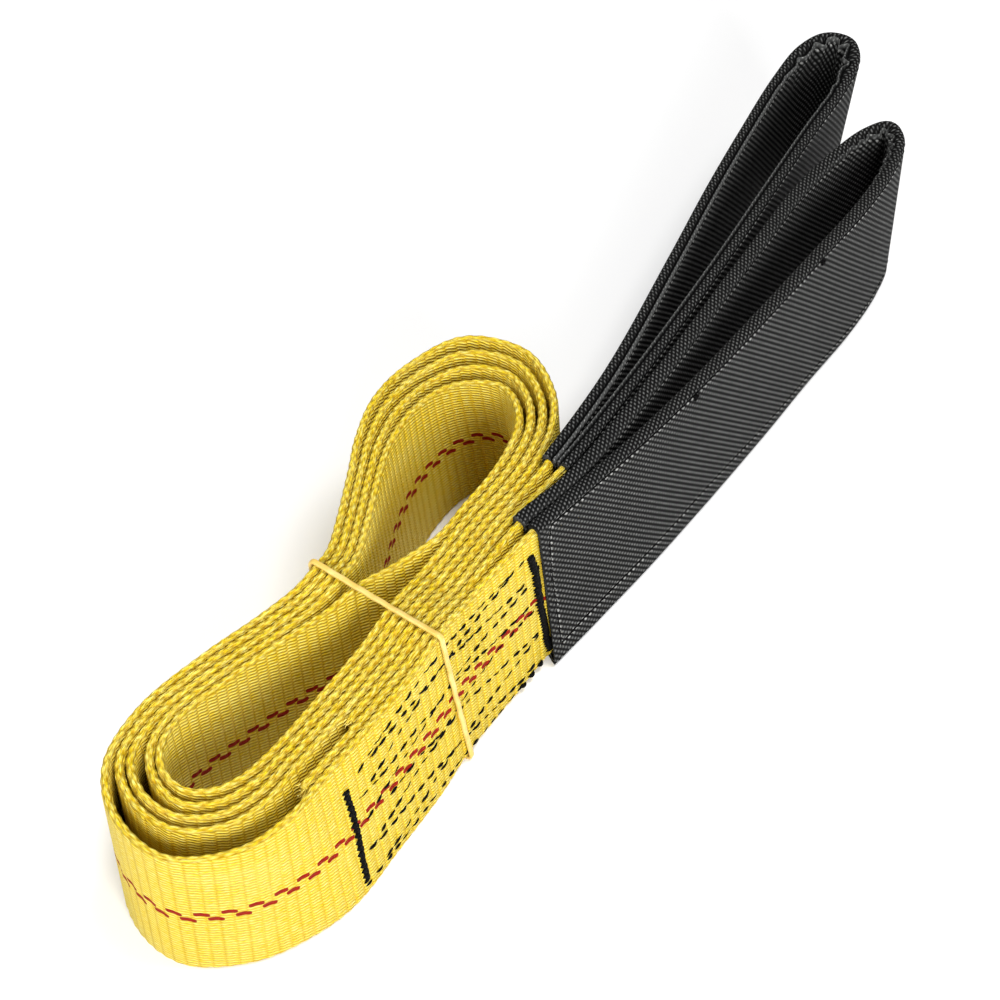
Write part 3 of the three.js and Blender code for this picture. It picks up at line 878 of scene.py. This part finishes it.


# The outline is carried along the webbing between two path points. Seams draw the cloth in by a bell
# of the distance to their line. Round the tip the rim rises by the tip's bell times the square of its
# share, and its inner side is gathered by a sine. The masks for the painted shade on the channel's floor
# and the painted highlight on the raised band beside it are bells of the side. The inner wall is the
# outline's box drawn in by the cloth.
def buildSleeve(label, first, last):
    start, stop = distanceAt(first), distanceAt(last)
    rows = int((stop - start) / sleeve["ringStep"])
    st = strip(np.linspace(start, stop, rows))
    side0, plain, sunk = sleeveSection()
    columns = len(side0)
    s = st["s"][:, None] - start
    along = np.minimum(s, stop - start - s)
    middle = (stop - start) / 2
    tip = tipBell(s - middle)
    share = np.clip(sleeve["groove"][label] + 0.7 * tip, 0, 1)
    h = plain[None] * (1 - share) + sunk[None] * share
    onFace = (np.abs(side0)[None] > sleeveSide - 0.02) & (h > -0.2)
    endLine = np.array(sleeve["endSeam"], float)
    endAt = np.interp(h, endLine[:, 1], endLine[:, 0])
    inside = along > endAt - 0.3
    farthest = sleeve["seamReach"]
    away = np.abs(along - endAt) + farthest * ((h < endLine[0, 1] - 0.2) | (h > 49.4))
    for key in ("lowerSeam", "upperSeam"):
        away = np.minimum(away, np.abs(h - seamHeight(key, along)) + farthest * ~inside)
    away = np.where(onFace, np.minimum(away, farthest), farthest)
    seam = np.exp(-(away / sleeve["seamWide"]) ** 2)
    hem = np.exp(-((along - 0.6) / 0.5) ** 2)
    facing = np.sign(side0)[None] * onFace
    side = side0[None] - facing * sleeve["seamDip"] * seam - 0.18 * np.sign(side0)[None] * hem
    rim = rimShare(h)
    inner = np.clip((0.5 - side0[None]) / 1.5, 0, 1)
    gather = np.sin(2 * math.pi * s / sleeve["fold"][label] + 0.9 * np.sin(s * 0.6))
    side = side + sleeve["pucker"][label] * tip * rim * inner * (gather - 0.6)
    rise = sleeve["tipRise"] * tip * rim ** 2 * (1 + 0.22 * gather * inner)
    cut, slope = sleeve["trim"][label]
    ahead = stop - start - s
    ramp = np.clip(1 - ahead / sleeve["trimReach"], 0, 1)
    flare = flareAt(label, ahead, h) * np.clip(0.5 + side0[None] / (2 * sleeveSide), 0, 1)
    side = side + flare
    moved = s - ramp * (cut + slope * (1 - h / route["webWidth"]) - sleeve["flareDraw"] * flare)
    flatS = (start + moved).ravel()
    outer = onStrip(strip(flatS), side.reshape(-1, 1), (h + rise).reshape(-1, 1))[:, 0]
    low = route["sleeveCloth"] - sleeveLift
    high = sleeveTop - 2.3
    depth = sleeveSide - route["sleeveCloth"]
    inSide = np.array([-depth, depth, depth, -depth])
    inUp = np.array([low, low, high, high])
    innerFlare = 0.45 * flareAt(label, ahead, inUp[None]) * (inSide[None] > 0)
    innerMoved = s - ramp * (cut + slope * (1 - inUp[None] / route["webWidth"])
                             - sleeve["flareDraw"] * innerFlare)
    lining = onStrip(strip((start + innerMoved).ravel()), (inSide[None] + innerFlare).reshape(-1, 1),
                     np.tile(inUp, rows)[:, None])[:, 0]
    points = np.concatenate([outer, lining])
    base = rows * columns
    # at both ends each point of the outline meets the nearest corner of the lining
    corner = np.argmin(np.hypot(side0[:, None] - inSide, plain[:, None] - inUp), axis=1)
    k = np.arange(columns)
    j = (k + 1) % columns
    faces = [ringGrid(rows, columns), ringGrid(rows, 4, base)[:, ::-1]]
    for ring, order in ((0, -1), (rows - 1, 1)):
        rimFaces = np.stack([ring * columns + k, ring * columns + j, base + ring * 4 + corner[j],
                             base + ring * 4 + corner[k]], 1)
        same = corner[j] == corner[k]
        faces.append(rimFaces[same][:, :3][:, ::order])
        faces.append(rimFaces[~same][:, ::order])
    round0 = np.hypot(np.diff(side0, append=side0[0]), np.diff(plain, append=plain[0]))
    arc = np.r_[0, np.cumsum(round0)[:-1]]
    uv = np.concatenate([np.stack([moved.ravel(), np.tile(arc, rows)], 1),
                         np.stack([innerMoved.ravel(), np.tile(inUp, rows)], 1)])
    bare = np.zeros(rows * 4)
    onTop = plain[None] > 49.5
    # masks for painted shade along the channel's floor and a painted highlight on the raised band beside it
    channelShade = share * np.exp(-((side0[None] + 0.75) / 0.4) ** 2) * onTop
    weltHighlight = share * np.exp(-((side0[None] + 1.55) / 0.35) ** 2) * onTop
    values = {
        "seam": np.r_[away.ravel(), bare + farthest],
        "top": np.r_[np.tile(np.clip((plain - 49.6) / 0.8, 0, 1), rows), bare],
        "channelShade": np.r_[channelShade.ravel(), bare],
        "weltHighlight": np.r_[weltHighlight.ravel(), bare],
    }
    wrap = ((rows - 1) * columns, columns, round0.sum())
    piece = makePiece("sling_eye_sleeve_" + label, points, faces, uv, values, wrap)
    return piece, start, stop


# Stitches along the seams of both faces: pairs of places a stitch length apart on each line, carried
# up with the rim round the tip and out with the foot's spread
def buildSeams(label, start, stop):
    rng = np.random.default_rng(23)
    length, pitch = sleeve["stitchLength"], sleeve["stitchPitch"]
    middle = (stop - start) / 2
    parts = []
    for face in (sleeveSide - 0.1, 0.1 - sleeveSide):
        begins, ends = [], []
        for key in ("lowerSeam", "upperSeam"):
            at = np.arange(7.2, stop - start - 7.2 - length, pitch)
            for where, out in ((at, begins), (at + length, ends)):
                near = np.minimum(where, stop - start - where)
                out.append(np.stack([start + where, seamHeight(key, near)], 1))
        line = np.array(sleeve["endSeam"], float)
        at = np.arange(line[0, 1] + 0.5, 48.5 - length, pitch)
        for heading, origin0 in ((1, start), (-1, stop)):
            for where, out in ((at, begins), (at + length, ends)):
                place = origin0 + heading * np.interp(where, line[:, 1], line[:, 0])
                out.append(np.stack([place, where], 1))
        begins, ends = np.concatenate(begins), np.concatenate(ends)
        tip = tipBell(begins[:, 0] - start - middle)
        keep = (tip < 0.25) | (face > 0)
        radius = sleeve["stitchRadius"] * rng.uniform(0.85, 1.15, len(begins))
        for place in (begins, ends):
            bell = tipBell(place[:, 0] - start - middle)
            place[:, 1] += sleeve["tipRise"] * bell * rimShare(place[:, 1]) ** 2
        centres, radii = stitches(begins[keep], ends[keep], radius[keep], face, 0.12)
        centres[..., 2] += (face > 0) * flareAt(label, stop - centres[..., 0], centres[..., 1])
        parts.append((centres, radii))
    loops = np.array(sleeve["knotLoops"])
    for knot in sleeve["knots"][label]:
        place = loops[:, 0] + [stop - knot, 0.0]
        size = np.full(len(loops), sleeve["knotRadius"])
        parts.append(stitches(place, place + loops[:, 1], size, sleeveSide, sleeve["knotStand"]))
    points, faces = tubes(*joined(parts), 5)
    return makePiece("sling_sleeve_seams_" + label, points, faces)


# Twill: ribs are a wave of the distance along less the distance round, beaded by a wave along the other
# diagonal. The rolled top has finer knobs, a wave along times a slanting wave round. Painted sheen greys
# the crests. Seams are black lines with painted glints beside them, and the top's channel is darkened by
# painted shade, with a painted highlight on the raised band beside it.
def sleeveMaterial():
    t = Tree("sleeve_cloth")
    s, v = t.stripPlace()
    seam = t.attribute("seam")
    top = t.attribute("top")
    channelShade = t.attribute("channelShade")
    weltHighlight = t.attribute("weltHighlight")
    rib = (s / sleeve["twillAlong"] - v / sleeve["twillRound"]).wave()
    dot = ((s + v) / sleeve["dotPitch"]).wave()
    knobAlong = s / sleeve["knobPitch"]
    knobs = knobAlong.wave() * (v / sleeve["knobPitch"] + 0.5 * knobAlong).wave()
    line = 1.0 - seam.step(sleeve["seamLine"], 0.12)
    grain = t.noise(t.vector(s * 1.6, v * 1.6), 1.0, 3.0)
    patch = t.noise(t.vector(s * 0.12, v * 0.12), 1.0, 2.0)
    bead = rib * (0.30 + 0.70 * dot) * (1.0 - top) + knobs * top
    height = bead + 0.15 * grain
    # painted sheen: the raised twill and the band beside the channel lighten toward grey, broken by noise
    light = (bead ** 1.5) * (0.30 + 1.0 * grain) * (0.75 + 0.5 * patch) + 0.5 * weltHighlight
    color = t.mixed(light.clamped(), sleeve["black"], sleeve["ribSheen"])
    glintStart, glintEnd = sleeve["glintBand"]
    # painted glints beside the seams, on the beads and on the raised band beside the channel
    beside = seam.step(glintStart, 0.06) - seam.step(glintEnd, 0.25)
    spark = bead.step(0.60 - 0.25 * beside, 0.2) * ((grain - 0.42) * 3.0 + 0.4 * beside).clamped()
    color = t.mixed((spark * (0.22 + 0.7 * beside + 0.8 * weltHighlight)).clamped(), color, sleeve["glint"])
    # the seams' black lines, and painted shade in the top's channel
    color = t.mixed((line + channelShade * 1.2).clamped(), color, sleeve["black"])
    return t.finish(color, 0.8 - 0.2 * bead, height - line, 0.00028, 0.85, Specular_IOR_Level=0.08)


clothMaterial = sleeveMaterial()
for label, (first, last) in {"a": sleeveEnds[:2], "b": sleeveEnds[2:]}.items():
    piece, start, stop = buildSleeve(label, first, last)
    piece.data.materials.append(clothMaterial)
    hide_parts("eye_sleeve_" + label)
    seams = buildSeams(label, start, stop)
    seams.data.materials.append(blackThread)
    print("sleeve %s: %.0f mm along the eye" % (label, stop - start))


# Rubber band

band = {
    "wide": 1.5,
    "thick": 0.95,
    "bend": 0.9,            # inner radius over the hank's corners
    "slide": 3.9,           # how far it sits back along the hank at its upper front corner
    "stepsRun": 44,
    "stepsBend": 7,
    "sag": 0.22,
    "twist": 14.0,          # degrees, rolling to and fro along the upper run
    "tan": rgba(0.70, 0.47, 0.10),
    "pale": rgba(0.84, 0.66, 0.26),
    "deep": rgba(0.52, 0.31, 0.03),
}


# A closed line over four corners in the plane across the hank: straight runs and an arc at each
# corner. A rounded oval is carried along it, turned a little by a sine of the way.
def buildBand():
    left0, right0, behind = place(left[3], 3), place(right[3], 7), place(right[2], 7)
    slide = band["slide"] / (right0[0][0] - behind[0][0])
    upperFront = right0[0] + (behind[0] - right0[0]) * slide
    off = half + route["clear"]
    roof = route["bandLift"] + route["webWidth"] + route["clear"] / 2
    corners = np.array([
        (right0[1][0], right0[1][1] - off, band["thick"]),
        (left0[1][0], left0[1][1] + off, band["thick"]),
        (left0[0][0], left0[0][1] + off, roof),
        (upperFront[0], upperFront[1] - off, roof),
    ])
    lines, facings = [], []
    for i in range(4):
        before, here, after = corners[i - 1], corners[i], corners[(i + 1) % 4]
        inFace = math.atan2(here[2] - before[2], here[1] - before[1]) - math.pi / 2
        outFace = math.atan2(after[2] - here[2], after[1] - here[1]) - math.pi / 2
        turn = (outFace - inFace) % (2 * math.pi)
        inset = band["bend"] / math.cos(turn / 2)
        centre = here[1:] - inset * np.array([math.cos(inFace + turn / 2), math.sin(inFace + turn / 2)])
        angle = inFace + turn * np.linspace(0, 1, band["stepsBend"])
        arc = centre + band["bend"] * np.stack([np.cos(angle), np.sin(angle)], 1)
        lines.append(np.column_stack([np.full(len(angle), here[0]), arc]))
        facings.append(angle)
    line, facing = [], []
    for i in range(4):
        j = (i + 1) % 4
        t = np.linspace(0, 1, band["stepsRun"] + 2)[1:-1, None]
        run = lines[i][-1] * (1 - t) + lines[j][0] * t
        sag = band["sag"] * np.sin(math.pi * t[:, 0]) * (i in (2, 3)) * (1 + 0.5 * np.cos(t[:, 0] * 40))
        run[:, 1] -= sag * math.cos(facings[i][-1])
        run[:, 2] -= sag * math.sin(facings[i][-1])
        line += [lines[i], run]
        facing += [facings[i], np.full(len(run), facings[i][-1])]
    line, facing = np.concatenate(line), np.concatenate(facing)
    way = np.linspace(0, 2 * math.pi, len(line), endpoint=False)
    roll = math.radians(band["twist"]) * np.sin(3 * way + 0.6) * (0.5 + 0.5 * np.sin(2 * way))
    turn = np.linspace(0, 2 * math.pi, 14, endpoint=False)
    across = np.sign(np.cos(turn)) * np.abs(np.cos(turn)) ** 0.6 * band["wide"] / 2
    depth = (np.sign(np.sin(turn)) * np.abs(np.sin(turn)) ** 0.7 + 1) * band["thick"] / 2
    cosine, sine = np.cos(roll)[:, None], np.sin(roll)[:, None]
    x = across * cosine + (depth - band["thick"] / 2) * sine
    out = depth * cosine - across * sine + 0.15 * np.abs(sine)
    points = np.stack([line[:, 0:1] + x, line[:, 1:2] + np.cos(facing)[:, None] * out,
                       line[:, 2:3] + np.sin(facing)[:, None] * out], 2).reshape(-1, 3)
    return makePiece("sling_rubber_band", points, [ringGrid(len(line), len(turn), 0, True)])


# Natural rubber: soft clouds of tan, a little paler in streaks, with a fine bloom in the bump
def bandMaterial():
    t = Tree("natural_rubber")
    cloud = t.noise(t.objectPlace(), 0.22, 2.0)
    streak = t.noise(t.objectPlace(), 1.6, 3.0)
    color = t.mixed(((cloud - 0.4) * 2.0).clamped(), band["tan"], band["pale"])
    color = t.mixed(((0.45 - streak) * 1.6).clamped(), color, band["deep"])
    return t.finish(color, 0.34 + 0.16 * streak, streak, 0.00008, 0.5, Specular_IOR_Level=0.5)


bandPiece = buildBand()
bandPiece.data.materials.append(bandMaterial())
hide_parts("rubber_band")


# Floor, lights and camera

look = {
    "heading": 57.7,
    "pitch": 47.0,
    "distance": 0.71823,
    "lens": 93.6,
    "sensor": 36.0,
    # azimuth and elevation in degrees, distance and size in metres, power in watts
    "lights": {
        "front": (-45, 26, 1.2, 0.5, 13.5),
        "left": (-120, 40, 1.2, 0.4, 5),
        "top": (20, 76, 1.3, 0.5, 10.5),
    },
    "sky": 0.27,
    "floorReach": 3.0,
    "floor": rgba(0.97, 0.97, 0.97),
}


# The camera looks at the middle of the route along the heading, tipped down by the pitch
def addCamera():
    heading, pitch = math.radians(look["heading"]), math.radians(look["pitch"])
    level = math.cos(pitch)
    forward = np.array([level * math.sin(heading), level * math.cos(heading), -math.sin(pitch)])
    data = bpy.data.cameras.new("camera")
    data.lens = look["lens"]
    data.sensor_width = look["sensor"]
    camera = bpy.data.objects.new("camera", data)
    camera.location = origin * mm - forward * look["distance"]
    camera.rotation_euler = (math.pi / 2 - pitch, 0.0, -heading)
    bpy.context.scene.collection.objects.link(camera)
    bpy.context.scene.camera = camera


# A square soft light that faces the origin from an azimuth, 0 at -Y, and an elevation in degrees
def addLight(name, azimuth, elevation, distance, size, power):
    a, e = math.radians(azimuth), math.radians(elevation)
    toward = np.array([math.sin(a) * math.cos(e), -math.cos(a) * math.cos(e), math.sin(e)])
    data = bpy.data.lights.new(name, "AREA")
    data.shape = "SQUARE"
    data.size = size
    data.energy = power
    light = bpy.data.objects.new(name, data)
    light.location = toward * distance
    light.rotation_euler = (math.pi / 2 - e, 0.0, a)
    bpy.context.scene.collection.objects.link(light)


def addFloor():
    size = look["floorReach"]
    corners = np.array([[-size, -size, 0], [size, -size, 0], [size, size, 0], [-size, size, 0]], float)
    mesh = bpy.data.meshes.new("floor")
    mesh.from_pydata(corners, [], [[0, 1, 2, 3]])
    floor = bpy.data.objects.new("floor", mesh)
    bpy.context.scene.collection.objects.link(floor)
    t = Tree("pale_floor")
    mesh.materials.append(t.finish(look["floor"], 0.8, Specular_IOR_Level=0.1))


addCamera()
for name, values in look["lights"].items():
    addLight(name, *values)
addFloor()
world = bpy.data.worlds.new("studio")
world.use_nodes = True
world.node_tree.nodes["Background"].inputs[0].default_value = rgba(1, 1, 1)
world.node_tree.nodes["Background"].inputs[1].default_value = look["sky"]
bpy.context.scene.world = world
bpy.context.scene.view_settings.view_transform = "Standard"
print("camera, lights and floor are set")
